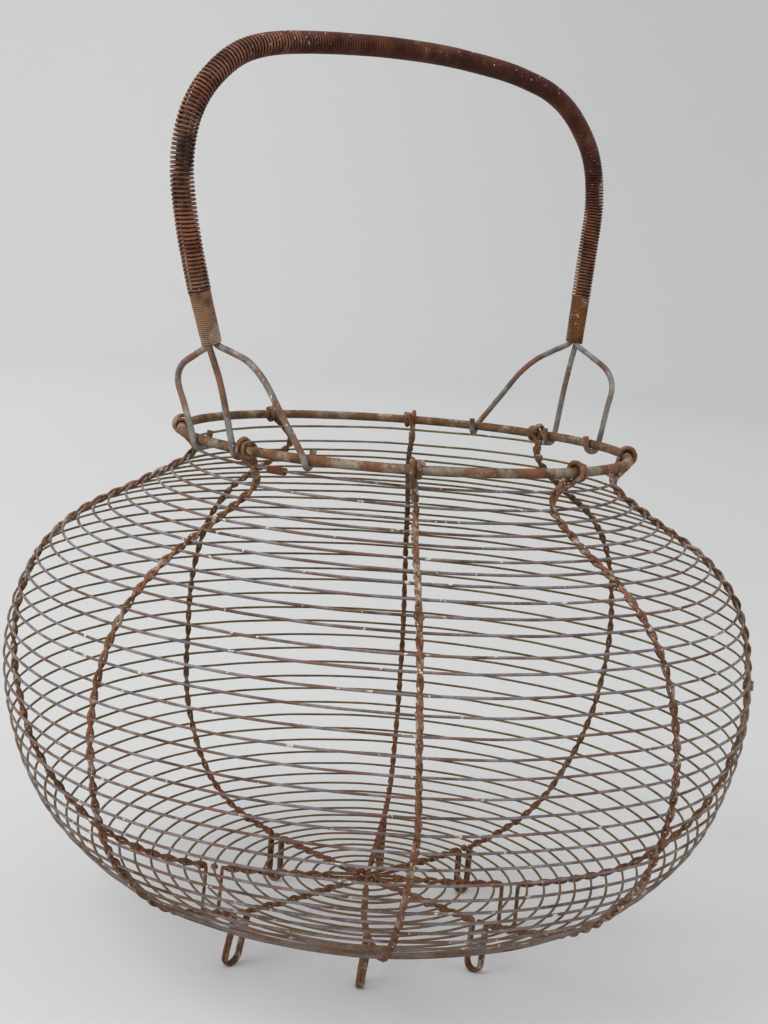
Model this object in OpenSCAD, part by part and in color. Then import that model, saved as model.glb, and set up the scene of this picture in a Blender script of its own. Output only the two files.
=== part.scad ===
// Wire fruit picking basket: a hoop, eight twisted ribs, a wound weft and a bound bail handle.
// Millimetres, +Z up. The origin is on the floor, on the basket's axis. The handle runs along X.

/* [Basket] */
// Diameter across the belly, measured on the weft
belly_d = 400; // [380:5:420]
// Diameter of the rim hoop, measured on its wire
rim_d = 238; // [232:2:248]
// Height of the rim hoop's wire above the floor
rim_h = 272; // [266:1:286]
// Diameter of the neck just under the rim
neck_d = 227; // [222:1:230]
// Height of the woven base above the floor, which is also the length of the feet
base_h = 27; // [24:1:32]
// Radius of the circle that the feet stand on
foot_circle_r = 86; // [80:1:96]
// How far the rim's middle stands off the belly's, to the right
rim_off_x = 3.5; // [-4:0.5:4]
// How far the rim's middle stands off the belly's, to the back
rim_off_y = -4.5; // [-5:0.5:4]
// How far the base's middle stands off the belly's, to the right
base_off_x = 1; // [-3:0.5:3]
// How far the base's middle stands off the belly's, to the back
base_off_y = -3; // [-3:0.5:3]

/* [Wire] */
// Thickness of the rim hoop
hoop_wire = 4.9; // [4.5:0.1:5.2]
// Thickness of one strand of a rib
strand_wire = 1.8; // [1.6:0.1:2.0]
// Thickness of the weft
weft_wire = 1.3; // [1.1:0.1:1.5]
// Distance between two rounds of the weft, along the wall
weft_pitch = 9; // [8.5:0.25:9.5]

/* [Handle] */
// Width of the handle, measured on its bundle of core wires
handle_w = 295; // [281:2:307]
// Height of the top of the handle above the floor
handle_h = 479; // [467:1:491]
// Thickness of one of the three core wires
core_wire = 3.2; // [3.0:0.1:3.3]
// Thickness of the wire that is wound round them
wrap_wire = 1.5; // [1.3:0.1:1.6]
// Length of the tight binding at each end of the winding
binding_l = 27; // [16:1:28]

/* [Hidden] */

clear = 0.05;
belly_r = belly_d / 2;
rim_r = rim_d / 2;
neck_r = neck_d / 2;
hoop_r = hoop_wire / 2;
strand_r = strand_wire / 2;
weft_r = weft_wire / 2;
core_r = core_wire / 2;

// The eight ribs, by the angle at which each one meets the hoop, the neck, the belly, the heel and its foot
// The basket is bent by hand, so they stray a few degrees from an even eighth of a turn.
rib_names = ["back_right", "back", "back_left", "left", "front_left", "front", "front_right", "right"];
rib_at_hoop = [4.5, 43.5, 86, 138, 185, 227.5, 270, 316];
rib_at_neck = [0.5, 43.5, 81, 133.5, 188, 229.5, 265, 314.5];
rib_at_belly = [-0.5, 41.5, 84.5, 136, 185.5, 232.5, 272, 311];
rib_at_heel = [0.5, 41, 91.5, 139.5, 182, 230, 274, 318];
rib_at_foot = [0.5, 41, 91.5, 139.5, 182, 225.5, 274, 318];
// Each foot hangs this many rounds of the weft further in than that
foot_in = [0, 0, 1, 0, -1, 0, 0, 0];

// The wall from rim to base centre, as radius and height; a smooth curve runs through these points
wall_h = rim_h - base_h;
flare = belly_r - neck_r;
wall_knots = [
    [rim_r, rim_h],
    [neck_r, base_h + 0.94 * wall_h],
    [neck_r + 0.27 * flare, base_h + 0.872 * wall_h],
    [neck_r + 0.66 * flare, base_h + 0.787 * wall_h],
    [neck_r + 0.905 * flare, base_h + 0.677 * wall_h],
    [belly_r, base_h + 0.52 * wall_h],
    [0.977 * belly_r, base_h + 0.365 * wall_h],
    [0.917 * belly_r, base_h + 0.235 * wall_h],
    [0.815 * belly_r, base_h + 0.13 * wall_h],
    [0.71 * belly_r, base_h + 0.065 * wall_h],
    [0.59 * belly_r, base_h + 0.028 * wall_h],
    [0.46 * belly_r, base_h + 0.008 * wall_h],
    [0.30 * belly_r, base_h],
    [0.06 * belly_r, base_h]
];

// The middle of the wall at a height: it strays from the belly's middle towards the rim and the base
belly_h = base_h + 0.52 * wall_h;
neck_h = base_h + 0.95 * wall_h;
rim_off = [rim_off_x, rim_off_y, 0];
base_off = [base_off_x, base_off_y, 0];
function share(z, from, to) = min(max((z - from) / (to - from), 0), 1);
function lean(z) =
    pow(share(z, belly_h, neck_h), 2) * rim_off + pow(share(z, belly_h, base_h + 4), 2) * base_off;

function unit(v) = v / norm(v);
function reverse(list) = [for (i = [len(list) - 1 : -1 : 0]) list[i]];

// Catmull-Rom point between b and c
function smooth_point(a, b, c, d, t) =
    0.5 * (2 * b + (c - a) * t + (2 * a - 5 * b + 4 * c - d) * t * t + (3 * b - a - 3 * c + d) * t * t * t);

// A smooth curve through the knots, with a number of steps between two of them
function smooth_curve(knots, steps) = [
    for (i = [0 : len(knots) - 2], k = [0 : steps - 1])
        smooth_point(
            knots[max(i - 1, 0)], knots[i], knots[i + 1], knots[min(i + 2, len(knots) - 1)], k / steps
        ),
    knots[len(knots) - 1]
];

// Running length along a list of points
function run_lengths(pts) = [
    for (i = 0, s = 0; i < len(pts); i = i + 1, s = s + (i < len(pts) ? norm(pts[i] - pts[i - 1]) : 0)) s
];

wall = smooth_curve(wall_knots, 8);
wall_run = run_lengths(wall);
wall_length = wall_run[len(wall) - 1];
radius_by_run = [for (i = [0 : len(wall) - 1]) [wall_run[i], wall[i][0]]];
height_by_run = [for (i = [0 : len(wall) - 1]) [wall_run[i], wall[i][1]]];
function wall_at(s) = [lookup(s, radius_by_run), lookup(s, height_by_run)];
function wall_along(s) = unit(wall_at(min(s + 2, wall_length)) - wall_at(max(s - 2, 0)));
// Outward normal of the wall at a running length
function wall_normal(s) = let (a = wall_along(s)) [-a[1], a[0]];

// Rounds of the weft, as running lengths along the wall
first_round = 10;
last_round = wall_length - 2;
round_count = floor((last_round - first_round) / weft_pitch) + 1;
rounds = [for (i = [0 : round_count - 1]) first_round + i * weft_pitch];
// The feet hang at the first round inside the foot circle
foot_round = [for (i = [1 : round_count - 1])
    if (wall_at(rounds[i - 1])[0] >= foot_circle_r && wall_at(rounds[i])[0] < foot_circle_r) i][0];

// First and last round of each zone of the weft
zone_ends = [0, 3, 9, 15, 21, 27, 33, 40, round_count];

// A rib's two strands lie this far outside and inside the weft
strand_gap = weft_r + strand_r + clear;

function path_along(p, i) = unit(p[min(i + 1, len(p) - 1)] - p[max(i - 1, 0)]);
function square_to(v, along) = unit(v - (v * along) * along);
function any_side(along) = square_to(abs(along[2]) < 0.9 ? [0, 0, 1] : [1, 0, 0], along);
// A side vector at each point, turned as little as possible from one point to the next
function path_sides(p) = [
    for (i = 0, u = any_side(path_along(p, 0)); i < len(p);
        i = i + 1, u = i < len(p) ? square_to(u, path_along(p, i)) : u) u
];

module wire(path, r, sides = 6) {
    n = len(path);
    across = path_sides(path);
    rings = [
        for (i = [0 : n - 1])
            let (t = path_along(path, i), u = across[i], v = cross(t, u))
                for (k = [0 : sides - 1])
                    path[i] + r * (cos(360 * k / sides) * u + sin(360 * k / sides) * v)
    ];
    skin = [
        for (i = [0 : n - 2], k = [0 : sides - 1])
            let (a = i * sides + k, b = i * sides + (k + 1) % sides)
                each [[a, a + sides, b + sides], [a, b + sides, b]]
    ];
    ends = [
        [for (k = [0 : sides - 1]) k],
        [for (k = [sides - 1 : -1 : 0]) (n - 1) * sides + k]
    ];
    polyhedron(points = rings, faces = concat(skin, ends), convexity = 10);
}

module ring(r, z, wire_r) {
    translate([0, 0, z] + lean(z)) rotate_extrude($fn = 120) translate([r, 0]) circle(r = wire_r, $fn = 24);
}

module rim_hoop() {
    color("dimgray") ring(rim_r, rim_h, hoop_r);
}

module weft_zone(zone) {
    color("rosybrown")
        for (i = [zone_ends[zone] : zone_ends[zone + 1] - 1])
            ring(wall_at(rounds[i])[0], wall_at(rounds[i])[1], weft_r);
}

// The small ring that the ribs meet at, in the middle of the base
centre_ring_r = 7;
module centre_ring() {
    color("saddlebrown") ring(centre_ring_r, base_h, weft_r);
}

// The weft's end, wound tightly round its first round beside the front left rib.
// It starts this many degrees after the rib, and goes this far.
wrap_after = 3;
wrap_turn = 5;
module weft_end_wrap() {
    top = wall_at(rounds[0]);
    color("saddlebrown")
        translate([0, 0, top[1]] + lean(top[1]))
            rotate([0, 0, rib_at_neck[4] + wrap_after])
                rotate_extrude(angle = wrap_turn, $fn = 120)
                    translate([top[0], 0])
                        difference() {
                            circle(r = 2 * weft_r + weft_r + clear, $fn = 24);
                            circle(r = weft_r + clear, $fn = 24);
                        }
}

// Angle of a rib at a running length along the wall
function rib_angle(k, s) = lookup(s / wall_length, [
    [0, rib_at_hoop[k]], [0.05, rib_at_neck[k]], [0.08, rib_at_neck[k]],
    [0.45, rib_at_belly[k]], [0.75, rib_at_heel[k]], [0.9, rib_at_foot[k]]
]);
// A point beside a rib: radius, height, and distance sideways along the rounds
function rib_point(angle, r, z, side) = [
    r * cos(angle) - side * sin(angle), r * sin(angle) + side * cos(angle), z
];

foot_half = 4.5;
foot_turns = [180 : 36 : 360];
// At the feet the two strands stand this far either side of the rib's middle
foot_side = strand_r + 0.5;
eye_gap = 1.1;
eye_r = hoop_r + strand_r + eye_gap;
eye_lift = 0.6;
tail_r = hoop_r + strand_r + 0.1;
tail_pitch = strand_wire + 0.3;

// The outer strand's open eye over the hoop
function rib_eye(k) = [
    for (a = [180 : -30 : -30])
        rim_off + rib_point(rib_at_hoop[k], rim_r + eye_r * cos(a), rim_h + eye_lift + eye_r * sin(a), 0)
];

// The inner strand comes up inside the hoop and winds round it, beside the eye
function rib_tail(k) = [
    for (a = [-300 : 30 : 180])
        rim_off + rib_point(
            rib_at_hoop[k], rim_r + tail_r * cos(a), rim_h + tail_r * sin(a),
            tail_pitch * (540 - a) / 360
        )
];

// Where a strand runs on the wall: way is 1 outside the weft and -1 inside it
function on_wall(k, i, way) =
    let (s = rounds[i], p = wall_at(s) + way * strand_gap * wall_normal(s))
        lean(wall_at(s)[1]) + rib_point(rib_angle(k, s), p[0], p[1], 0);

// Each strand leaves the weft level, clears the next round and turns down into the foot
shoulder_out = 1.8;
shoulder_drop = 2.2;
shoulder_sag = 0.35;
shoulder_side = 0.7;
shoulder_pinch = 0.1;
shoulder_spread = 0.8;
function foot_shoulder(a, r, z, to, way) = [
    rib_point(a, r + to * (foot_half + shoulder_out), z - shoulder_sag - way * (strand_gap - shoulder_pinch),
        way * shoulder_side),
    rib_point(a, r + to * foot_half, z - shoulder_drop - way * shoulder_spread, way * foot_side)
];

// The foot: both strands turn side by side and dip to the floor and back
function foot_at(k) = foot_round + foot_in[k];
function rib_foot(k, way) =
    let (
        s = rounds[foot_at(k)], r = wall_at(s)[0], z = wall_at(s)[1],
        a = rib_angle(k, s), side = way * foot_side,
        path = concat(
            foot_shoulder(a, r, z, 1, way),
            [for (t = foot_turns)
                rib_point(a, r - foot_half * cos(t), strand_r + foot_half * (1 + sin(t)), side)],
            reverse(foot_shoulder(a, r, z, -1, way))
        )
    )
        [for (p = path) p + lean(z)];

rib_end_r = 5;
function rib_end(k, way) =
    lean(base_h) + rib_point(rib_at_foot[k], rib_end_r, base_h - way * strand_gap, 0);

function rib_path(k, way) = concat(
    way > 0 ? rib_eye(k) : rib_tail(k),
    [for (i = [0 : foot_at(k) - 1]) on_wall(k, i, way)],
    rib_foot(k, way),
    [for (i = [foot_at(k) + 1 : round_count - 1]) on_wall(k, i, way)],
    [rib_end(k, way)]
);

module rib_strand(k, way) {
    color(way > 0 ? "sienna" : "saddlebrown") wire(rib_path(k, way), strand_r);
}

// Three turns of spare wire round the right rib, between two rounds of the weft
module repair_wrap() {
    mid = (rounds[16] + rounds[17]) / 2;
    p = wall_at(mid);
    t = wall_along(mid);
    n = wall_normal(mid);
    turn_r = strand_gap + strand_r + weft_r + 2 * clear;
    color("darkgray")
        wire(
            [for (a = [0 : 30 : 1080])
                let (q = p + n * turn_r * cos(a) + t * (a - 540) * weft_wire * 1.1 / 360)
                    lean(p[1]) + rib_point(rib_angle(7, mid), q[0], q[1], turn_r * sin(a))],
            weft_r, 5
        );
}

// The bundle's middle line from its left end to its right end, as x and z
lift = handle_h - 479;
handle_knots = [
    for (p = [
        [-133.5, 322], [-144, 351], [-152.5, 380], [-156.5, 404], [-153, 427.5], [-140.5, 446.5],
        [-120, 460.5], [-87, 467.5], [-32.5, 472.5], [18, 473.5], [68.5, 470], [104.5, 460], [130, 437],
        [138.5, 409], [136.5, 376], [132, 327]
    ]) [p[0] * handle_w / 295, p[1] + lift * (p[1] - 322) / 151.5]
];
handle_line = smooth_curve(handle_knots, 4);
handle_run = run_lengths(handle_line);
handle_length = handle_run[len(handle_line) - 1];
function handle_at(s) = [
    lookup(s, [for (i = [0 : len(handle_line) - 1]) [handle_run[i], handle_line[i][0]]]),
    lookup(s, [for (i = [0 : len(handle_line) - 1]) [handle_run[i], handle_line[i][1]]])
];
function handle_along(s) = unit(handle_at(min(s + 3, handle_length)) - handle_at(max(s - 3, 0)));
// A point beside the middle line: up is away from the basket in the handle's plane, back is along +Y
function handle_point(s, up, back) =
    let (m = handle_at(s), a = handle_along(s)) [m[0] - a[1] * up, back, m[1] + a[0] * up];

bundle_r = core_r * 2 / sqrt(3) + clear;
bundle_out = bundle_r + core_r;
// The winding is loose: it stands off the bundle by this much
wrap_slack = 0.45;
winding_r = bundle_out + wrap_slack + wrap_wire + clear;

// Angles at which the three cores hook round the rim, at the left end and at the right end
hook_left = [183.5, 167, 203.5];
hook_right = [0.5, 25.5, -17.5];
// The corner of each leg: its angle, its height above the rim and how far it stands out from the rim
corner_left = [[181.4, 30, 9.8], [160.5, 33, 10.5], [191.3, 41, 8.5]];
corner_right = [[0.3, 32, 9.5], [12.7, 39.5, 8.5], [-18.5, 39, 9]];
// Each core's place in the bundle: outward, and along +Y
core_place = [
    [bundle_r, 0], [-bundle_r / 2, bundle_r * sqrt(3) / 2], [-bundle_r / 2, -bundle_r * sqrt(3) / 2]
];

hook_r = hoop_r + core_r + clear;
tip_rise = 4.5;
tip_in = 0.6;
// An open hook that comes down outside the hoop, goes under it and rises inside
function core_hook(angle) = concat(
    [for (a = [-30 : -30 : -180]) rib_point(angle, rim_r + hook_r * cos(a), rim_h + hook_r * sin(a), 0)],
    [rib_point(angle, rim_r - hook_r - tip_in, rim_h + tip_rise, 0)]
);
// Where a leg's straight runs are held, as shares of the way from its corner to the bundle and to the rim
leg_inward = [0.6, 0.2];
leg_downward = [0.15, 0.5];
bundle_lead = 8;
leg_steps = 4;
// A leg from the end of the bundle, round its corner and down to its hook; along is where the bundle points
function core_leg(start, along, corner, hook) = let (
    bend = rib_point(corner[0], rim_r + corner[2], rim_h + corner[1], 0),
    top = rib_point(hook, rim_r + hook_r, rim_h, 0),
    knots = concat(
        [start - bundle_lead * along, start],
        [for (q = leg_inward) bend + q * (start - bend)],
        [for (q = leg_downward) bend + q * (top - bend)],
        [top]
    ),
    curve = smooth_curve(knots, leg_steps)
) concat([for (i = [leg_steps + 1 : len(curve) - 1]) curve[i]], core_hook(hook));
bundle_steps = 36;
function core_point(c, s) = handle_point(s, core_place[c][0], core_place[c][1]);
function core_path(c) = let (
    first = core_point(c, 0), last = core_point(c, handle_length),
    out_left = unit(first - core_point(c, 4)), out_right = unit(last - core_point(c, handle_length - 4))
) concat(
    reverse(core_leg(first, out_left, corner_left[c], hook_left[c])),
    [for (i = [0 : bundle_steps]) core_point(c, handle_length * i / bundle_steps)],
    core_leg(last, out_right, corner_right[c], hook_right[c])
);

module handle_core(c) {
    color("slategray") translate(rim_off) wire(core_path(c), core_r);
}

// A thin tube along the handle's middle line
module sleeve(from, to, steps, inner, outer, sides = 10) {
    path = [for (i = [0 : steps]) from + (to - from) * i / steps];
    shell = [
        for (r = [outer, inner], s = path, k = [0 : sides - 1])
            handle_point(s, r * cos(360 * k / sides), r * sin(360 * k / sides))
    ];
    n = len(path);
    base = n * sides;
    skin = [
        for (i = [0 : n - 2], k = [0 : sides - 1])
            let (a = i * sides + k, b = i * sides + (k + 1) % sides)
                each [
                    [a, b + sides, a + sides], [a, b, b + sides],
                    [base + a, base + a + sides, base + b + sides], [base + a, base + b + sides, base + b]
                ]
    ];
    rims = [
        for (k = [0 : sides - 1])
            let (j = (k + 1) % sides, e = (n - 1) * sides)
                each [
                    [k, base + k, base + j], [k, base + j, j],
                    [e + k, e + j, base + e + j], [e + k, base + e + j, base + e + k]
                ]
    ];
    polyhedron(points = shell, faces = concat(skin, rims), convexity = 10);
}

module handle_winding() {
    from = binding_l + 0.5;
    color("maroon")
        translate(rim_off) sleeve(from, handle_length - from, 40, bundle_out + clear, winding_r);
}

// The tighter, thinner binding that closes each end of the winding
binding_r = winding_r - 0.2;
module handle_binding(from) {
    color("peru") translate(rim_off) sleeve(from, from + binding_l, 4, bundle_out + clear, binding_r);
}

rim_hoop();
weft_zone(0);  // weft_neck
weft_zone(1);  // weft_shoulder
weft_zone(2);  // weft_upper_belly
weft_zone(3);  // weft_middle_belly
weft_zone(4);  // weft_lower_belly
weft_zone(5);  // weft_heel
weft_zone(6);  // weft_base_outer
weft_zone(7);  // weft_base_inner
centre_ring();
weft_end_wrap();
repair_wrap();
for (k = [0 : 7]) {
    rib_strand(k, 1);
    rib_strand(k, -1);
}
handle_core(0);  // handle_core_middle
handle_core(1);  // handle_core_back
handle_core(2);  // handle_core_front
handle_winding();
handle_binding(0);  // handle_binding_left
handle_binding(handle_length - binding_l);  // handle_binding_right
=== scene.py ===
import math
import random
import bpy
from mathutils import Matrix, Vector, noise
from mathutils.kdtree import KDTree


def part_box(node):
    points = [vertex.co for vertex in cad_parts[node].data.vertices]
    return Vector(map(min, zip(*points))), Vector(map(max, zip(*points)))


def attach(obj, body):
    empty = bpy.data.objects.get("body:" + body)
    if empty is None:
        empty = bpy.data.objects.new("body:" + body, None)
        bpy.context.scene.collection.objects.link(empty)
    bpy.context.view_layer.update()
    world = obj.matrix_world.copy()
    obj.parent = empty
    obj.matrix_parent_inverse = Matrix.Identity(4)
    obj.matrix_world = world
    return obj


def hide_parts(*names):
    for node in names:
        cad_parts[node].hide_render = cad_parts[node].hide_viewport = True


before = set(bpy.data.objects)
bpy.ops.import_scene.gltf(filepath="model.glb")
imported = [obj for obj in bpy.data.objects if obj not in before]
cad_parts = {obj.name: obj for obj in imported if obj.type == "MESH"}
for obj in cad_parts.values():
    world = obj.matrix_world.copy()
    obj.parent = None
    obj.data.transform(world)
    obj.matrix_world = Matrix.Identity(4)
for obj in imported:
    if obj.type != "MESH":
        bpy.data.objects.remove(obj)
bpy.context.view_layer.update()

mm = 0.001


# the basket's main sizes, read from the frame's own nodes
hoopLow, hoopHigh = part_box("rim_hoop")
bellyLow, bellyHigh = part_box("weft_middle_belly")
baseLow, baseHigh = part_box("weft_base_inner")

basket = {
    "hoopWire": hoopHigh.z - hoopLow.z,
    "weftWire": 1.3 * mm,
    "strandWire": 1.8 * mm,
    "neckShare": 0.9538,  # neck radius as a share of the rim's
    "bellyShare": 0.52,  # height of the belly, as a share of the way up from base to rim
    "rimLean": 0.95,  # above this share of the height the wall is as far off the axis as the rim
    "baseLean": 4.0 * mm,  # and below this height over the base, as far as the base
    "wallSteps": 16,  # points of the wall's curve between two of its knots
    "pitch": 9.0 * mm,  # from one round of the weft to the next, along the wall
    "firstRound": 10.0 * mm,
    "lastGap": 2.0 * mm,  # free wall between the last round and the base's centre
    "footRadius": 86.0 * mm,
    "footSide": 1.2 * mm,  # each strand of a foot stands this far from the rib's middle
    "footHalf": 4.5 * mm,
    "clear": 0.05 * mm,
}
rimRadius = (hoopHigh.x - hoopLow.x - basket["hoopWire"]) / 2
rimHeight = (hoopHigh.z + hoopLow.z) / 2
# the rim and the base both stand a little off the belly's axis
rimOff = Vector(((hoopHigh.x + hoopLow.x) / 2, (hoopHigh.y + hoopLow.y) / 2, 0))
bellyRadius = (bellyHigh.x - bellyLow.x - basket["weftWire"]) / 2
baseHeight = baseLow.z + basket["weftWire"] / 2
baseOff = Vector(((baseHigh.x + baseLow.x) / 2, (baseHigh.y + baseLow.y) / 2, 0))
hoopR, weftR, strandR = basket["hoopWire"] / 2, basket["weftWire"] / 2, basket["strandWire"] / 2


# smooth curves through a few points, in two or three dimensions
def smoothCurve(knots, steps):
    knots = [Vector(k) for k in knots]
    last = len(knots) - 1
    curve = []
    for i in range(last):
        a, b, c, d = knots[max(i - 1, 0)], knots[i], knots[i + 1], knots[min(i + 2, last)]
        for k in range(steps):
            t = k / steps
            curve.append(0.5 * (2 * b + (c - a) * t + (2 * a - 5 * b + 4 * c - d) * t * t
                                + (3 * b - a - 3 * c + d) * t ** 3))
    return curve + [knots[last]]


class Track:  # a line of points that can be read at any running length
    def __init__(self, points):
        self.points = points
        self.runs = [0.0]
        for a, b in zip(points, points[1:]):
            self.runs.append(self.runs[-1] + (b - a).length)
        self.length = self.runs[-1]

    def at(self, s):
        s = min(max(s, 0.0), self.length)
        low, high = 0, len(self.runs) - 1
        while high - low > 1:
            mid = (low + high) // 2
            if self.runs[mid] <= s:
                low = mid
            else:
                high = mid
        share = (s - self.runs[low]) / max(self.runs[high] - self.runs[low], 1e-9)
        return self.points[low].lerp(self.points[high], share)

    def along(self, s, reach=2.0 * mm):
        return (self.at(s + reach) - self.at(s - reach)).normalized()


# the wall from rim to base centre, as radius and height
def makeWall():
    tall = rimHeight - baseHeight
    neck = basket["neckShare"] * rimRadius
    flare = bellyRadius - neck
    shares = [(neck + 0.27 * flare, 0.872), (neck + 0.66 * flare, 0.787), (neck + 0.905 * flare, 0.677),
              (bellyRadius, basket["bellyShare"]), (0.977 * bellyRadius, 0.365), (0.917 * bellyRadius, 0.235),
              (0.815 * bellyRadius, 0.13), (0.71 * bellyRadius, 0.065), (0.59 * bellyRadius, 0.028),
              (0.46 * bellyRadius, 0.008), (0.30 * bellyRadius, 0.0), (0.06 * bellyRadius, 0.0)]
    knots = [(rimRadius, rimHeight), (neck, baseHeight + 0.94 * tall)]
    knots += [(r, baseHeight + share * tall) for r, share in shares]
    return Track(smoothCurve(knots, basket["wallSteps"]))


wall = makeWall()
roundCount = int((wall.length - basket["lastGap"] - basket["firstRound"]) / basket["pitch"]) + 1
print("basket: wall", round(wall.length / mm, 1), "mm,", roundCount, "rounds")


# how far the wall's middle strays at a height, towards the rim and towards the base
bellyHeight = baseHeight + basket["bellyShare"] * (rimHeight - baseHeight)
neckHeight = baseHeight + basket["rimLean"] * (rimHeight - baseHeight)


def lean(height):
    up = min(max((height - bellyHeight) / (neckHeight - bellyHeight), 0), 1)
    down = min(max((bellyHeight - height) / (bellyHeight - baseHeight - basket["baseLean"]), 0), 1)
    return rimOff * up * up + baseOff * down * down


# where each rib stands, in degrees, at the hoop, the neck, the belly, the heel and its foot,
# and by how many rounds its foot hangs further in
ribs = {
    "back_right": (4.5, 0.5, -0.5, 0.5, 0.5, 0), "back": (43.5, 43.5, 41.5, 41, 41, 0),
    "back_left": (86, 81, 84.5, 91.5, 91.5, 1), "left": (138, 133.5, 136, 139.5, 139.5, 0),
    "front_left": (185, 188, 185.5, 182, 182, -1), "front": (227.5, 229.5, 232.5, 230, 225.5, 0),
    "front_right": (270, 265, 272, 274, 274, 0), "right": (316, 314.5, 311, 318, 318, 0),
}


def ribAngle(name, s):
    atHoop, atNeck, atBelly, atHeel, atFoot, _ = ribs[name]
    share = s / wall.length
    table = [(0, atHoop), (0.05, atNeck), (0.08, atNeck), (0.45, atBelly), (0.75, atHeel), (0.9, atFoot)]
    for (a, low), (b, high) in zip(table, table[1:]):
        if share <= b:
            return math.radians(low + (high - low) * max(share - a, 0) / (b - a))
    return math.radians(atFoot)


def polar(angle, radius, height, side=0.0):
    c, s = math.cos(angle), math.sin(angle)
    return Vector((radius * c - side * s, radius * s + side * c, height))


def roundHoop(angle, radius, degrees, lift=0.0, aside=0.0):  # a place on a circle round the hoop's wire
    t = math.radians(degrees)
    return polar(angle, rimRadius + radius * math.cos(t), rimHeight + lift + radius * math.sin(t), aside)


# the weft is one wire: its running length down the wall grows by one pitch each turn,
# with a hand's unevenness, quick and slow
weft = {
    "uneven": 1.5 * mm, "quick": 2.3, "slow": 0.9, "slowShare": 0.6,
    "bow": 0.9 * mm, "bowTurn": 0.4,  # how far it is pulled in between two ribs, and where, in radians
    "endGap": 0.05, "endSteps": 6,  # where it stops short of its last whole turn
    "stepsPerTurn": 128, "sides": 6, "thick": 1.08, "wobble": 1.2 * mm, "wobbleScale": 22.0,
    "pitting": 0.35, "pitScale": 260.0,
}


def weftRun(turns):
    s = basket["firstRound"] + (turns - 0.5) * basket["pitch"]
    stray = noise.noise(Vector((turns * weft["quick"], 4.0, 0.0)))
    stray += weft["slowShare"] * noise.noise(Vector((turns * weft["slow"], 9.0, 0.0)))
    return s + weft["uneven"] * stray


def weftPoint(turns):
    angle = 2 * math.pi * turns
    s = weftRun(turns)
    spot = wall.at(s)
    slack = abs(math.sin(angle * len(ribs) / 2 - weft["bowTurn"]))  # pulled straighter between two ribs
    inward = weft["bow"] * slack * min(spot.x / bellyRadius, 1.0)
    return polar(angle, spot.x - inward, spot.y) + lean(spot.y)


def ribCrossings(name):
    found = []
    for turn in range(roundCount + 1):
        turns = turn + (ribAngle(name, basket["firstRound"] + turn * basket["pitch"]) / (2 * math.pi))
        if turns <= roundCount - weft["endGap"]:
            found.append((weftRun(turns), turns))
    return found


# the crossing nearest to where this rib's foot hangs
def footCrossing(name, crossings):
    rounds = [wall.at(basket["firstRound"] + i * basket["pitch"]).x for i in range(roundCount)]
    inside = [i for i, r in enumerate(rounds) if r < basket["footRadius"]][0]
    wanted = rounds[inside + ribs[name][5]]
    return min(range(len(crossings)), key=lambda i: abs(wall.at(crossings[i][0]).x - wanted))


# node trees
def newTree(name, inputs):
    tree = bpy.data.node_groups.new(name, "GeometryNodeTree")
    tree.interface.new_socket("Geometry", in_out="INPUT", socket_type="NodeSocketGeometry")
    for label, kind, value in inputs:
        socket = tree.interface.new_socket(label, in_out="INPUT", socket_type="NodeSocket" + kind)
        if value is not None:
            socket.default_value = value
    tree.interface.new_socket("Geometry", in_out="OUTPUT", socket_type="NodeSocketGeometry")
    return tree, tree.nodes.new("NodeGroupInput"), tree.nodes.new("NodeGroupOutput")


def setSocket(tree, socket, value):
    if isinstance(value, bpy.types.NodeSocket):
        tree.links.new(value, socket)
    else:
        socket.default_value = value


def addNode(tree, kind, settings=None, **inputs):  # i0, i1 and so on are inputs by number
    made = tree.nodes.new(kind)
    for key, value in (settings or {}).items():
        setattr(made, key, value)
    for key, value in inputs.items():
        byNumber = key[0] == "i" and key[1:].isdigit()
        setSocket(tree, made.inputs[int(key[1:]) if byNumber else key], value)
    return made


def mathNode(tree, operation, *values):
    made = addNode(tree, "ShaderNodeMath", {"operation": operation})
    for socket, value in zip(made.inputs, values):
        setSocket(tree, socket, value)
    return made.outputs[0]


def vectorNode(tree, operation, *vectors, **scale):
    made = addNode(tree, "ShaderNodeVectorMath", {"operation": operation}, **scale)
    for socket, value in zip(made.inputs, vectors):
        setSocket(tree, socket, value)
    return made.outputs["Value" if operation in ("LENGTH", "DOT_PRODUCT") else "Vector"]


def rangeNode(tree, value, low, high, toLow=0.0, toHigh=1.0, smooth=True):
    kind = "SMOOTHSTEP" if smooth else "LINEAR"
    made = addNode(tree, "ShaderNodeMapRange", {"interpolation_type": kind}, Value=value)
    for label, edge in (("From Min", low), ("From Max", high), ("To Min", toLow), ("To Max", toHigh)):
        setSocket(tree, made.inputs[label], edge)
    return made.outputs["Result"]


def named(tree, kind, name):
    made = addNode(tree, "GeometryNodeInputNamedAttribute", {"data_type": kind}, Name=name)
    return made.outputs["Attribute"]


def floatSocket(sockets, name):  # some nodes have one socket of a name for each type
    return [s for s in sockets if s.name == name and s.type == "VALUE"][0]


def wander(tree, start):  # strays a wire's points by up to about half the wobble
    stray = addNode(tree, "ShaderNodeTexNoise", Scale=start.outputs["Wobble Scale"], Detail=1.0)
    stray = vectorNode(tree, "SUBTRACT", stray.outputs["Color"], (0.5, 0.5, 0.5))
    return vectorNode(tree, "SCALE", stray, Scale=start.outputs["Wobble"])


def evenPoints(tree, start):
    curve = addNode(tree, "GeometryNodeMeshToCurve", i0=start.outputs[0])
    return addNode(tree, "GeometryNodeResampleCurve", Curve=curve.outputs[0], Count=start.outputs["Points"])


def finishTree(tree, geometry, start, end):
    paint = addNode(tree, "GeometryNodeSetMaterial", Geometry=geometry, Material=start.outputs["Material"])
    tree.links.new(paint.outputs[0], end.inputs[0])


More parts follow.
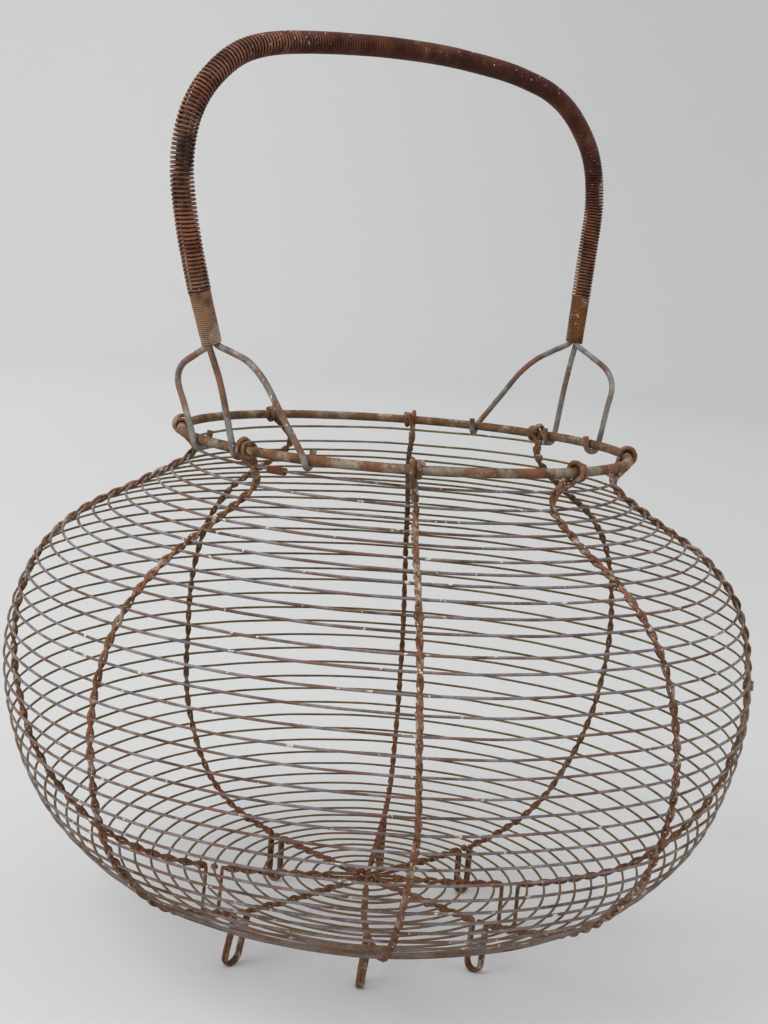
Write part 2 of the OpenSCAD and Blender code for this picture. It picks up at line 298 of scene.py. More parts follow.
def sweepWire(tree, line, offset, start, end):  # moves the line, then sweeps a pitted circle along it
    moved = addNode(tree, "GeometryNodeSetPosition", Geometry=line, Offset=offset)
    pits = addNode(tree, "ShaderNodeTexNoise", Scale=start.outputs["Pit Scale"], Detail=2.0)
    pits = mathNode(tree, "SUBTRACT", pits.outputs[0], 0.5)
    thick = mathNode(tree, "MULTIPLY_ADD", pits, start.outputs["Pitting"], 1.0)
    thick = mathNode(tree, "MULTIPLY", thick, named(tree, "FLOAT", "girth"))
    radius = addNode(tree, "GeometryNodeSetCurveRadius", Curve=moved.outputs[0], Radius=thick)
    circle = addNode(tree, "GeometryNodeCurvePrimitiveCircle", {"mode": "RADIUS"},
                     Resolution=start.outputs["Wire Sides"], Radius=start.outputs["Wire Radius"])
    sweep = addNode(tree, "GeometryNodeCurveToMesh", Curve=radius.outputs[0], i1=circle.outputs[0])
    sweep.inputs["Fill Caps"].default_value = True
    if "Scale" in sweep.inputs:
        tree.links.new(thick, sweep.inputs["Scale"])
    smooth = addNode(tree, "GeometryNodeSetShadeSmooth", i0=sweep.outputs[0])
    real = addNode(tree, "GeometryNodeRealizeInstances", i0=smooth.outputs[0])
    finishTree(tree, real.outputs[0], start, end)


wireInputs = [
    ("Points", "Int", 200), ("Wire Radius", "Float", 1.0 * mm), ("Wire Sides", "Int", 8),
    ("Wobble", "Float", 0.0), ("Wobble Scale", "Float", 30.0), ("Pitting", "Float", 0.2),
    ("Pit Scale", "Float", 400.0), ("Material", "Material", None),
]


# a wire along a path; lay moves it off the path, one way or the other, as in a twisted pair
def makeLaidWireTree():
    tree, start, end = newTree("laidWire", [("Way", "Float", 1.0)] + wireInputs)
    even = evenPoints(tree, start)
    shift = vectorNode(tree, "SCALE", named(tree, "FLOAT_VECTOR", "lay"), Scale=start.outputs["Way"])
    sweepWire(tree, even.outputs[0], vectorNode(tree, "ADD", shift, wander(tree, start)), start, end)
    return tree


# a wire wound round a path, in as many turns as the path's turns attribute counts
def makeWoundWireTree():
    tree, start, end = newTree("woundWire", [("Coil Radius", "Float", 4.0 * mm)] + wireInputs)
    even = evenPoints(tree, start)
    turn = mathNode(tree, "MULTIPLY", named(tree, "FLOAT", "turns"), 2 * math.pi)
    parts = []
    for axis, wave in (("upward", "COSINE"), ("sideward", "SINE")):
        reach = mathNode(tree, "MULTIPLY", mathNode(tree, wave, turn), start.outputs["Coil Radius"])
        reach = mathNode(tree, "MULTIPLY", reach, named(tree, "FLOAT", "swell"))
        parts.append(vectorNode(tree, "SCALE", named(tree, "FLOAT_VECTOR", axis), Scale=reach))
    ring = vectorNode(tree, "ADD", *parts)
    sweepWire(tree, even.outputs[0], vectorNode(tree, "ADD", ring, wander(tree, start)), start, end)
    return tree


# lumps of rust on points
def makeLumpTree():
    tree, start, end = newTree("rustLumps", [
        ("Size", "Float", 2.0 * mm), ("Size Spread", "Float", 0.3), ("Roughness", "Float", 0.5 * mm),
        ("Bump Scale", "Float", 700.0), ("Seed", "Int", 3), ("Material", "Material", None)])
    ball = addNode(tree, "GeometryNodeMeshIcoSphere", Radius=1.0, Subdivisions=2)
    size = addNode(tree, "FunctionNodeRandomValue", {"data_type": "FLOAT"}, Seed=start.outputs["Seed"])
    for label, operation in (("Min", "SUBTRACT"), ("Max", "ADD")):
        edge = mathNode(tree, operation, 1.0, start.outputs["Size Spread"])
        tree.links.new(edge, floatSocket(size.inputs, label))
    size = mathNode(tree, "MULTIPLY", floatSocket(size.outputs, "Value"), start.outputs["Size"])
    stretch = vectorNode(tree, "SCALE", named(tree, "FLOAT_VECTOR", "stretch"), Scale=size)
    turn = addNode(tree, "FunctionNodeAlignRotationToVector", {"axis": "X"},
                   Vector=named(tree, "FLOAT_VECTOR", "facing"))
    placed = addNode(tree, "GeometryNodeInstanceOnPoints", Points=start.outputs[0], Instance=ball.outputs[0],
                     Rotation=turn.outputs[0], Scale=stretch)
    real = addNode(tree, "GeometryNodeRealizeInstances", i0=placed.outputs[0])
    bumps = addNode(tree, "ShaderNodeTexNoise", Scale=start.outputs["Bump Scale"], Detail=2.0)
    bumps = mathNode(tree, "SUBTRACT", bumps.outputs[0], 0.5)
    bumps = mathNode(tree, "MULTIPLY", bumps, start.outputs["Roughness"])
    facing = addNode(tree, "GeometryNodeInputNormal")
    bumps = vectorNode(tree, "SCALE", facing.outputs[0], Scale=bumps)
    rough = addNode(tree, "GeometryNodeSetPosition", Geometry=real.outputs[0], Offset=bumps)
    smooth = addNode(tree, "GeometryNodeSetShadeSmooth", i0=rough.outputs[0])
    finishTree(tree, smooth.outputs[0], start, end)
    return tree


laidWireTree = makeLaidWireTree()
woundWireTree = makeWoundWireTree()
lumpTree = makeLumpTree()


def addObject(name, data):
    made = bpy.data.objects.new(name, data)
    bpy.context.scene.collection.objects.link(made)
    return made


# points with attributes, joined in a line or a loop, or left loose
def pathObject(points, vectors=None, floats=None, loop=False, loose=False):
    count = len(points)
    edges = [] if loose else [(i, i + 1) for i in range(count - 1)] + ([(count - 1, 0)] if loop else [])
    mesh = bpy.data.meshes.new("path")
    mesh.from_pydata(points, edges, [])
    for name, values in (vectors or {}).items():
        data = mesh.attributes.new(name, "FLOAT_VECTOR", "POINT").data
        data.foreach_set("vector", [c for v in values for c in v])
    for name, values in (floats or {}).items():
        mesh.attributes.new(name, "FLOAT", "POINT").data.foreach_set("value", list(values))
    return addObject("path", mesh)


def plainPath(points, loop=False):  # for a laid wire that stays on its path
    count = len(points)
    return pathObject(points, {"lay": [(0, 0, 0)] * count}, {"girth": [1.0] * count}, loop=loop)


def coilPath(points, upward, sideward, turns, swell=None):  # for a wound wire
    count = len(points)
    floats = {"turns": turns, "girth": [1.0] * count, "swell": swell or [1.0] * count}
    return pathObject(points, {"upward": upward, "sideward": sideward}, floats)


def wireValues(piece, count, radius, material):
    return {"Points": count, "Wire Radius": radius, "Wire Sides": piece["sides"], "Wobble": piece["wobble"],
            "Wobble Scale": piece["wobbleScale"], "Pitting": piece["pitting"], "Pit Scale": piece["pitScale"],
            "Material": material}


def runTree(base, tree, name, values):
    modifier = base.modifiers.new("build", "NODES")
    modifier.node_group = tree
    for item in tree.interface.items_tree:
        if item.item_type == "SOCKET" and item.in_out == "INPUT" and item.name in values:
            modifier[item.identifier] = values[item.name]
    depsgraph = bpy.context.evaluated_depsgraph_get()
    done = base.evaluated_get(depsgraph)
    mesh = bpy.data.meshes.new_from_object(done, preserve_all_data_layers=True, depsgraph=depsgraph)
    base.modifiers.remove(modifier)
    bpy.data.objects.remove(base)
    mesh.name = name
    return addObject(name, mesh)


def markOutside(piece, squash=1.3):  # 1 on the side of a wire that faces out of the basket
    values = []
    for vertex in piece.data.vertices:
        away = vertex.co - lean(vertex.co.z) - Vector((0, 0, bellyHeight))
        away.z *= squash
        values.append(0.5 + 0.5 * vertex.normal.dot(away.normalized()))
    piece.data.attributes.new("outside", "FLOAT", "POINT").data.foreach_set("value", values)


def keepPiece(piece, slotName, *nodes):
    markOutside(piece)
    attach(piece, "root")
    if nodes:
        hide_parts(*nodes)
    return piece


# weathering: masks and heights that every wire's finish shares, as levels of noise
weather = {
    "bareEdge": 0.72, "bareReach": 0.42, "bareSoft": 0.10,  # more bare share, a lower edge
    "toneScale": 2.7, "tone": (0.32, 0.68), "warmScale": 0.8, "warm": (0.42, 0.62),
    "fleckEdge": 0.74, "fleckReach": 0.3, "fleckSoft": 0.05, "fleckScale": 0.55,
    "crowdScale": 0.55, "crowd": (0.40, 0.56),  # flecks come in crowds
    "patchHeight": 0.6,
}


def makeWeathering():
    group = bpy.data.node_groups.new("weathering", "ShaderNodeTree")
    face = group.interface
    for label, value in (("Patch Scale", 90.0), ("Grain Scale", 900.0), ("Bare Share", 0.3),
                         ("Fleck Share", 0.1), ("Shift", 0.0)):
        face.new_socket(label, in_out="INPUT", socket_type="NodeSocketFloat").default_value = value
    for label in ("Bare", "Tone", "Warm", "Flecks", "Height"):
        face.new_socket(label, in_out="OUTPUT", socket_type="NodeSocketFloat")
    start, end = group.nodes.new("NodeGroupInput"), group.nodes.new("NodeGroupOutput")
    where = group.nodes.new("ShaderNodeTexCoord")
    moved = vectorNode(group, "ADD", where.outputs["Object"], start.outputs["Shift"])

    def clouds(scale, share, detail, roughness=0.55):
        scale = start.outputs[scale]
        if share != 1:
            scale = mathNode(group, "MULTIPLY", scale, share)
        return addNode(group, "ShaderNodeTexNoise", Vector=moved, Scale=scale, Detail=detail,
                       Roughness=roughness).outputs[0]

    def edges(name, label):  # where a mask starts, and where it is full
        reach = mathNode(group, "MULTIPLY", start.outputs[label], weather[name + "Reach"])
        edge = mathNode(group, "SUBTRACT", weather[name + "Edge"], reach)
        return edge, mathNode(group, "ADD", edge, weather[name + "Soft"])

    patches = clouds("Patch Scale", 1, 5.0, 0.62)
    bare = rangeNode(group, patches, *edges("bare", "Bare Share"))
    tone = rangeNode(group, clouds("Patch Scale", weather["toneScale"], 6.0, 0.65), *weather["tone"])
    warm = rangeNode(group, clouds("Patch Scale", weather["warmScale"], 3.0), *weather["warm"])
    specks = clouds("Grain Scale", weather["fleckScale"], 2.0)
    specks = rangeNode(group, specks, *edges("fleck", "Fleck Share"))
    crowd = rangeNode(group, clouds("Patch Scale", weather["crowdScale"], 2.0), *weather["crowd"])
    flecks = mathNode(group, "MULTIPLY", specks, crowd)
    grain = clouds("Grain Scale", 1, 4.0, 0.6)
    height = mathNode(group, "MULTIPLY_ADD", patches, weather["patchHeight"], grain)
    for label, value in (("Bare", bare), ("Tone", tone), ("Warm", warm), ("Flecks", flecks),
                         ("Height", height)):
        group.links.new(value, end.inputs[label])
    return group


weathering = makeWeathering()
finish = {
    "facing": (0.30, 0.62),  # where a wire turns from its inner colours to its outer; the inner colours are partly painted shade, partly a real change of hue
    "lowFrom": 70 * mm, "lowTo": 30 * mm,  # the rust low down comes in between these heights
    "feetFrom": 24 * mm, "feetTo": 12 * mm, "feetShare": 0.15,  # and goes again down the feet
    "rustMetal": 0.05, "bumpDepth": 0.4 * mm, "ior": 1.5, "specular": 0.2,
}


def makeFinish(name, look):
    material = bpy.data.materials.new(name)
    material.use_nodes = True
    tree = material.node_tree
    shader = tree.nodes["Principled BSDF"]
    wear = addNode(tree, "ShaderNodeGroup", {"node_tree": weathering})
    for label in ("Patch Scale", "Grain Scale", "Bare Share", "Fleck Share", "Shift"):
        wear.inputs[label].default_value = look[label]
    tone, bare = wear.outputs["Tone"], wear.outputs["Bare"]

    def attribute(label):
        return addNode(tree, "ShaderNodeAttribute", {"attribute_name": label}).outputs["Fac"]

    def mix(share, first, second):
        made = addNode(tree, "ShaderNodeMix", {"data_type": "RGBA"}, i0=share)
        for index, colour in ((6, first), (7, second)):
            value = (*srgb(*colour), 1.0) if isinstance(colour, tuple) else colour
            setSocket(tree, made.inputs[index], value)
        return made.outputs[2]

    colour = mix(tone, look["deep"], look["rust"])
    colour = mix(wear.outputs["Warm"], colour, mix(tone, look["rust"], look["warm"]))
    colour = mix(bare, colour, mix(tone, look["bareDark"], look["bare"]))
    facing = rangeNode(tree, attribute("outside"), *finish["facing"])
    # partly painted shade: the side turned into the basket gets the darker inner colours, with a real change
    # of hue as well
    innerShadedColour = mix(look["innerShare"], colour, mix(tone, look["innerDeep"], look["inner"]))
    colour = mix(facing, innerShadedColour, colour)
    colour = mix(mathNode(tree, "MULTIPLY", wear.outputs["Flecks"], facing), colour, look["fleck"])
    if "low" in look:  # redder rust low down
        place = addNode(tree, "ShaderNodeTexCoord")
        height = addNode(tree, "ShaderNodeSeparateXYZ", i0=place.outputs["Object"]).outputs["Z"]
        depth = rangeNode(tree, height, finish["lowFrom"], finish["lowTo"], toHigh=look["lowShare"])
        feet = rangeNode(tree, height, finish["feetTo"], finish["feetFrom"], toLow=finish["feetShare"])
        patch = mathNode(tree, "MULTIPLY", mathNode(tree, "MULTIPLY", depth, tone), feet)
        colour = mix(patch, colour, look["low"])
    if "recessShade" in look:  # painted shade: a coil is darker down between its turns
        crest, recessShade = attribute("crest"), look["recessShade"]
        outOfShade = rangeNode(tree, crest, recessShade["from"], recessShade["to"], smooth=False)
        colour = mix(outOfShade, recessShade["colour"], colour)
    if "ridgeHighlight" in look:  # and a painted highlight, paler on the crests of the loose turns
        ridgeHighlight = look["ridgeHighlight"]
        ridgeGlint = rangeNode(tree, crest, ridgeHighlight["from"], ridgeHighlight["to"], toHigh=ridgeHighlight["share"], smooth=False)
        colour = mix(mathNode(tree, "MULTIPLY", ridgeGlint, tone), colour, ridgeHighlight["colour"])
    roughness = rangeNode(tree, bare, 0.0, 1.0, look["roughRust"], look["roughBare"], smooth=False)
    metal = rangeNode(tree, bare, 0.0, 1.0, finish["rustMetal"], look["metal"], smooth=False)
    bump = addNode(tree, "ShaderNodeBump", Height=wear.outputs["Height"], Strength=look["bump"],
                   Distance=finish["bumpDepth"])
    for label, value in (("Base Color", colour), ("Roughness", roughness), ("Metallic", metal),
                         ("Normal", bump.outputs[0])):
        tree.links.new(value, shader.inputs[label])
    shader.inputs["IOR"].default_value = finish["ior"]
    shader.inputs["Specular IOR Level"].default_value = finish["specular"]
    return material


def srgb(r, g, b):
    return tuple(((c / 255 + 0.055) / 1.055) ** 2.4 if c > 10 else c / 255 / 12.92 for c in (r, g, b))


# each finish's colours, in steps of 255, and how its weathering is spread
hoopLook = {
    "deep": (74, 52, 34), "rust": (116, 84, 58), "warm": (132, 84, 60),
    "bare": (154, 142, 124), "bareDark": (112, 101, 86), "fleck": (210, 200, 182),
    "inner": (104, 86, 62), "innerDeep": (70, 52, 32), "innerShare": 0.5,
    "Patch Scale": 62.0, "Grain Scale": 900.0, "Bare Share": 0.55, "Fleck Share": 0.14, "Shift": 0.0,
    "roughRust": 0.85, "roughBare": 0.55, "metal": 0.3, "bump": 0.6,
}
ribLook = {
    "deep": (76, 52, 36), "rust": (128, 92, 70), "warm": (136, 88, 64),
    "bare": (182, 166, 148), "bareDark": (124, 107, 92), "fleck": (218, 208, 190),
    "inner": (104, 76, 50), "innerDeep": (64, 42, 22), "innerShare": 0.8,
    "low": (112, 66, 46), "lowShare": 0.8,
    "Patch Scale": 120.0, "Grain Scale": 900.0, "Bare Share": 0.5, "Fleck Share": 0.38, "Shift": 3.1,
    "roughRust": 0.88, "roughBare": 0.62, "metal": 0.2, "bump": 0.9,
}
weftLook = {
    "deep": (82, 64, 56), "rust": (118, 94, 84), "warm": (132, 94, 84),
    "bare": (144, 134, 136), "bareDark": (102, 92, 94), "fleck": (212, 204, 190),
    "inner": (118, 102, 56), "innerDeep": (84, 68, 30), "innerShare": 0.95,
    "low": (112, 82, 62), "lowShare": 0.6,
    "Patch Scale": 40.0, "Grain Scale": 420.0, "Bare Share": 0.7, "Fleck Share": 0.33, "Shift": 7.7,
    "roughRust": 0.85, "roughBare": 0.58, "metal": 0.2, "bump": 0.4,
}
coreLook = {
    "deep": (84, 64, 50), "rust": (126, 96, 78), "warm": (138, 98, 82),
    "bare": (148, 144, 138), "bareDark": (102, 101, 98), "fleck": (220, 214, 204),
    "inner": (112, 92, 72), "innerDeep": (78, 58, 40), "innerShare": 0.35,
    "Patch Scale": 60.0, "Grain Scale": 1000.0, "Bare Share": 0.7, "Fleck Share": 0.24, "Shift": 12.3,
    "roughRust": 0.8, "roughBare": 0.48, "metal": 0.35, "bump": 0.5,
}
windingLook = {
    "deep": (50, 20, 9), "rust": (92, 44, 27), "warm": (118, 70, 38),
    "bare": (150, 122, 108), "bareDark": (92, 58, 46), "fleck": (230, 218, 212),
    "inner": (78, 38, 22), "innerDeep": (46, 18, 8), "innerShare": 0.4,
    "Patch Scale": 34.0, "Grain Scale": 1100.0, "Bare Share": 0.26, "Fleck Share": 0.3, "Shift": 21.5,
    "roughRust": 0.5, "roughBare": 0.45, "metal": 0.1, "bump": 0.4,
    # recessShade: painted shade down between the winding's turns
    "recessShade": {"from": 4.6 * mm, "to": 5.35 * mm, "colour": (34, 11, 4)},
    # ridgeHighlight: a painted highlight on the crests of the loose turns
    "ridgeHighlight": {"from": 5.3 * mm, "to": 5.6 * mm, "share": 0.7, "colour": (154, 112, 84)},
}
bindingLook = {
    "deep": (98, 70, 48), "rust": (146, 114, 92), "warm": (160, 124, 88),
    "bare": (186, 166, 146), "bareDark": (130, 106, 88), "fleck": (226, 216, 200),
    "inner": (124, 92, 64), "innerDeep": (84, 54, 30), "innerShare": 0.5,
    "Patch Scale": 70.0, "Grain Scale": 1100.0, "Bare Share": 0.4, "Fleck Share": 0.3, "Shift": 31.0,
    "roughRust": 0.75, "roughBare": 0.6, "metal": 0.1, "bump": 0.4,
    # recessShade: painted shade down between the binding's turns
    "recessShade": {"from": 4.4 * mm, "to": 5.0 * mm, "colour": (66, 42, 24)},
}
farBindingLook = {
    **bindingLook, "deep": (74, 44, 20), "rust": (114, 76, 48), "warm": (132, 88, 46),
    "bare": (150, 124, 100), "bareDark": (100, 70, 50), "inner": (96, 60, 34), "Shift": 36.0,
}
tieLook = {
    "deep": (66, 42, 28), "rust": (122, 80, 60), "warm": (138, 82, 62),
    "bare": (158, 136, 116), "bareDark": (110, 88, 72), "fleck": (214, 200, 180),
    "inner": (96, 62, 40), "innerDeep": (60, 36, 20), "innerShare": 0.8,
    "Patch Scale": 130.0, "Grain Scale": 1200.0, "Bare Share": 0.3, "Fleck Share": 0.22, "Shift": 41.0,
    "roughRust": 0.9, "roughBare": 0.72, "metal": 0.1, "bump": 0.9,
}
hoopSteel = makeFinish("hoopSteel", hoopLook)
ribSteel = makeFinish("ribSteel", ribLook)
weftSteel = makeFinish("weftSteel", weftLook)
coreSteel = makeFinish("coreSteel", coreLook)
windingSteel = makeFinish("windingSteel", windingLook)
farBindingSteel = makeFinish("farBindingSteel", farBindingLook)
bindingSteel = makeFinish("bindingSteel", bindingLook)
tieSteel = makeFinish("tieSteel", tieLook)
print("basket: finishes made")


# rim hoop
hoop = {"points": 420, "sides": 14, "wobble": 1.2 * mm, "wobbleScale": 9.0, "pitting": 0.10,
        "pitScale": 220.0}


def makeHoop():
    count = hoop["points"]
    ring = [polar(2 * math.pi * i / count, rimRadius, rimHeight) + rimOff for i in range(count)]
    values = wireValues(hoop, count, hoopR, hoopSteel)
    piece = runTree(plainPath(ring, loop=True), laidWireTree, "rimHoop", values)
    keepPiece(piece, "hoop_steel", "rim_hoop")


makeHoop()
print("basket: hoop made")


# weft
def makeWeft():
    steps = int(roundCount * weft["stepsPerTurn"]) - weft["endSteps"]
    points = [weftPoint(i / weft["stepsPerTurn"]) for i in range(steps)]
    piece = runTree(plainPath(points), laidWireTree, "weft",
                    wireValues(weft, steps, weftR * weft["thick"], weftSteel))
    zones = ["weft_neck", "weft_shoulder", "weft_upper_belly", "weft_middle_belly", "weft_lower_belly",
             "weft_heel", "weft_base_outer", "weft_base_inner"]
    keepPiece(piece, "weft_wire", *zones)


makeWeft()
print("basket: weft made")


# ribs: two strands, twisted half a turn from each crossing of the weft to the next
strand = {
    "eyeRadius": hoopR + strandR + 1.1 * mm, "eyeLift": 0.6 * mm, "eyeEnd": -30,  # open eye, in degrees
    "tailRadius": hoopR + strandR + 0.1 * mm, "tailPitch": 2.1 * mm, "tailStart": -300,
    "bite": 0.45, "sideShare": 0.95,  # how close the pair sits to the weft and to itself
    "head": {1: 22, -1: 49}, "swell": 0.3, "swellReach": 14,  # rust at the hoop, in points of the strand
    "footDrops": (2.4, 4.4, 8, 12, 16), "endRadius": 5.0 * mm,
    "splay": {"front_left": (4.5 * mm, -1.5 * mm), "front": (0.0, -2.2 * mm), "left": (1.0 * mm, 1.5 * mm),
              "front_right": (-1.5 * mm, 0.0)},
    "step": 0.9 * mm, "sides": 8, "thick": 1.06, "wobble": 0.5 * mm, "wobbleScale": 60.0, "pitting": 0.6,
    "pitScale": 320.0,
}


def ribPair(name, way):
    points, lays = [], []

    def put(point, lay=(0, 0, 0)):
        points.append(point)
        lays.append(Vector(lay))

    atRim = ribAngle(name, 0)
    if way > 0:  # one strand ends in an open eye over the hoop
        for a in range(180, strand["eyeEnd"] - 1, -10):
            put(rimOff + roundHoop(atRim, strand["eyeRadius"], a, strand["eyeLift"]))
    else:  # the other winds round the hoop beside it
        for a in range(strand["tailStart"], 181, 10):
            aside = strand["tailPitch"] * (540 - a) / 360
            put(rimOff + roundHoop(atRim, strand["tailRadius"], a, aside=aside))
    crossings = ribCrossings(name)
    footRun = crossings[footCrossing(name, crossings)][0]
    stand = strandR + strand["bite"] * weftR

    def twist(s):  # half turns passed at a running length
        for i in range(len(crossings) - 1):
            if crossings[i][0] <= s <= crossings[i + 1][0]:
                return i + (s - crossings[i][0]) / (crossings[i + 1][0] - crossings[i][0])
        return 0.0 if s < crossings[0][0] else float(len(crossings) - 1)

    def onWall(s, extra):
        angle, spot, along = ribAngle(name, s), wall.at(s), wall.along(s)
        outward = polar(angle, -along.y, along.x)  # the wall's normal, turned to this rib
        sideward = polar(angle, 0, 0, 1.0)
        half = math.pi * (twist(s) + extra)
        put(polar(angle, spot.x, spot.y) + lean(spot.y),
            outward * math.cos(half) * stand + sideward * math.sin(half) * strandR * strand["sideShare"])

    s = crossings[0][0]
    while s < footRun - basket["footHalf"]:
        onWall(s, 0)
        s += strand["step"]
    angle, spot = ribAngle(name, footRun), wall.at(footRun)
    side = math.sin(math.pi * twist(footRun - basket["footHalf"])) * basket["footSide"]
    apart = polar(angle, 0, 0, side)
    reach, deep = basket["footHalf"], strandR + basket["footHalf"]
    splay = strand["splay"].get(name, (0, 0))

    def putFoot(across, height):  # feet lean a little, more the lower they get
        low = 1 - height / baseHeight
        put(polar(angle, spot.x + across + low * splay[0], height, low * splay[1]) + lean(0), apart)

    for drop in strand["footDrops"]:
        putFoot(reach, max(spot.y - drop * mm, deep))
    for a in range(0, 181, 15):
        t = math.radians(a)
        putFoot(reach * math.cos(t), deep - reach * math.sin(t))
    for drop in strand["footDrops"][::-1]:
        putFoot(-reach, max(spot.y - drop * mm, deep))
    s = footRun + basket["footHalf"]
    while s < crossings[-1][0]:
        onWall(s, 1)
        s += strand["step"]
    final = polar(ribAngle(name, wall.length), strand["endRadius"], baseHeight) + lean(0)
    put(final, Vector((0, 0, -stand)) * (1 if lays[-1].z < 0 else -1))
    return points, lays


def makeRib(name):
    for way, label in ((1, "outer"), (-1, "inner")):
        points, lays = ribPair(name, way)
        head, reach = strand["head"][way], strand["swellReach"]
        girth = [1 + strand["swell"] * min(max(1 - (i - head) / reach, 0), 1) for i in range(len(points))]
        length = sum((b - a).length for a, b in zip(points, points[1:]))
        values = wireValues(strand, int(length / strand["step"]), strandR * strand["thick"], ribSteel)
        piece = runTree(pathObject(points, {"lay": lays}, {"girth": girth}), laidWireTree,
                        "rib_" + name + "_" + label + "_strand", {"Way": float(way), **values})
        keepPiece(piece, "rib_wire", "rib_" + name + "_" + label)


for ribName in ribs:
    makeRib(ribName)
print("basket: ribs made")


# rust grown over the crossings
knot = {
    "seed": 11, "share": 0.85, "out": 1.1, "side": (1.0, 1.4), "up": (0.9, 1.7),  # of the size, each way
    "headRuns": (3.0, 6.0, 9.5), "headStretch": (1.2, 1.5, 1.9), "headSpread": (0.8, 1.15),  # at the hoop
    "low": 1.22, "lowHeight": 45 * mm,  # larger ones on the base
    "clot": 14, "clotRadius": (1.0, 8.5), "clotHeight": (-1.2, 1.2), "clotStretch": (1.5, 1.3, 1.1),
    "clotTurn": 2.4, "clotFacing": 1.7,
    "tree": {"Size": 1.35 * mm, "Size Spread": 0.3, "Roughness": 1.0 * mm, "Seed": 5},
}


def makeKnots():
    random.seed(knot["seed"])
    points, facing, stretch = [], [], []
    for name in ribs:
        for s, turns in ribCrossings(name):
            if random.random() > knot["share"]:
                continue
            angle, along = ribAngle(name, s), wall.along(s)
            points.append(weftPoint(turns))
            facing.append(polar(angle, -along.y, along.x))
            grown = knot["low"] if wall.at(s).y < knot["lowHeight"] else 1.0
            sizes = (knot["out"], random.uniform(*knot["side"]), random.uniform(*knot["up"]))
            stretch.append([size * grown for size in sizes])
        for run in knot["headRuns"]:
            s = run * mm
            angle, spot, along = ribAngle(name, s), wall.at(s), wall.along(s)
            points.append(polar(angle, spot.x, spot.y) + lean(spot.y))
            facing.append(polar(angle, -along.y, along.x))
            stretch.append([size * random.uniform(*knot["headSpread"]) for size in knot["headStretch"]])
    for i in range(knot["clot"]):  # a clot of rust where the ribs meet
        spot = polar(i * knot["clotTurn"], random.uniform(*knot["clotRadius"]) * mm,
                     baseHeight + random.uniform(*knot["clotHeight"]) * mm)
        points.append(spot + lean(baseHeight))
        facing.append(polar(i * knot["clotFacing"], 1.0, 0.2))
        stretch.append(knot["clotStretch"])
    base = pathObject(points, {"facing": facing, "stretch": stretch}, loose=True)
    keepPiece(runTree(base, lumpTree, "rustKnots", {**knot["tree"], "Material": ribSteel}), "rib_wire")


makeKnots()


# the little ring at the base's centre
ring = {"radius": 7.0 * mm, "points": 60, "thick": 1.15, "sides": 8, "wobble": 0.6 * mm, "wobbleScale": 60.0,
        "pitting": 0.4, "pitScale": 300.0}


def makeCentreRing():
    count = ring["points"]
    points = [polar(2 * math.pi * i / count, ring["radius"], baseHeight) + lean(0) for i in range(count)]
    values = wireValues(ring, count, weftR * ring["thick"], ribSteel)
    piece = runTree(plainPath(points, loop=True), laidWireTree, "centreRing", values)
    keepPiece(piece, "weft_wire", "centre_ring")


# the weft's wrapped end, a short coil on its first round
endWrap = {"from": 191, "to": 196, "turns": 7, "steps": 40, "coil": 2 * weftR + 0.05 * mm, "sides": 8,
           "wobble": 0.2 * mm, "wobbleScale": 200.0, "pitting": 0.3, "pitScale": 400.0}


def makeEndWrap():
    first, last, turnCount = math.radians(endWrap["from"]), math.radians(endWrap["to"]), endWrap["turns"]
    shares = [i / endWrap["steps"] for i in range(endWrap["steps"] + 1)]
    places = [(first + (last - first) * share) / (2 * math.pi) for share in shares]
    base = coilPath([weftPoint(at) for at in places], [(0, 0, 1)] * len(places),
                    [polar(2 * math.pi * at, 1.0, 0) for at in places],
                    [turnCount * share for share in shares])
    values = wireValues(endWrap, turnCount * 14, weftR, tieSteel)
    piece = runTree(base, woundWireTree, "weftEndWrap", {"Coil Radius": endWrap["coil"], **values})
    keepPiece(piece, "tie_wire", "weft_end_wrap")


# the repair on the right rib
repair = {"round": 16.5, "long": 4.4 * mm, "turns": 3.2, "steps": 30, "points": 64,
          "coil": 2 * strandR + weftR * 0.9, "sides": 8, "wobble": 0.8 * mm, "wobbleScale": 160.0,
          "pitting": 0.3, "pitScale": 400.0}


def makeRepair():
    mid = basket["firstRound"] + repair["round"] * basket["pitch"]
    angle, spot, along = ribAngle("right", mid), wall.at(mid), wall.along(mid)
    centre, down = polar(angle, spot.x, spot.y) + lean(spot.y), polar(angle, along.x, along.y)
    outward, sideward = polar(angle, -along.y, along.x), polar(angle, 0, 0, 1.0)
    shares = [i / repair["steps"] for i in range(repair["steps"] + 1)]
    count = len(shares)
    base = coilPath([centre + down * (share - 0.5) * repair["long"] for share in shares], [outward] * count,
                    [sideward] * count, [repair["turns"] * share for share in shares])
    values = wireValues(repair, repair["points"], weftR, coreSteel)
    piece = runTree(base, woundWireTree, "repairWrap", {"Coil Radius": repair["coil"], **values})
    keepPiece(piece, "tie_wire", "repair_wrap")


makeCentreRing()
makeEndWrap()
makeRepair()
print("basket: knots and small wires made")


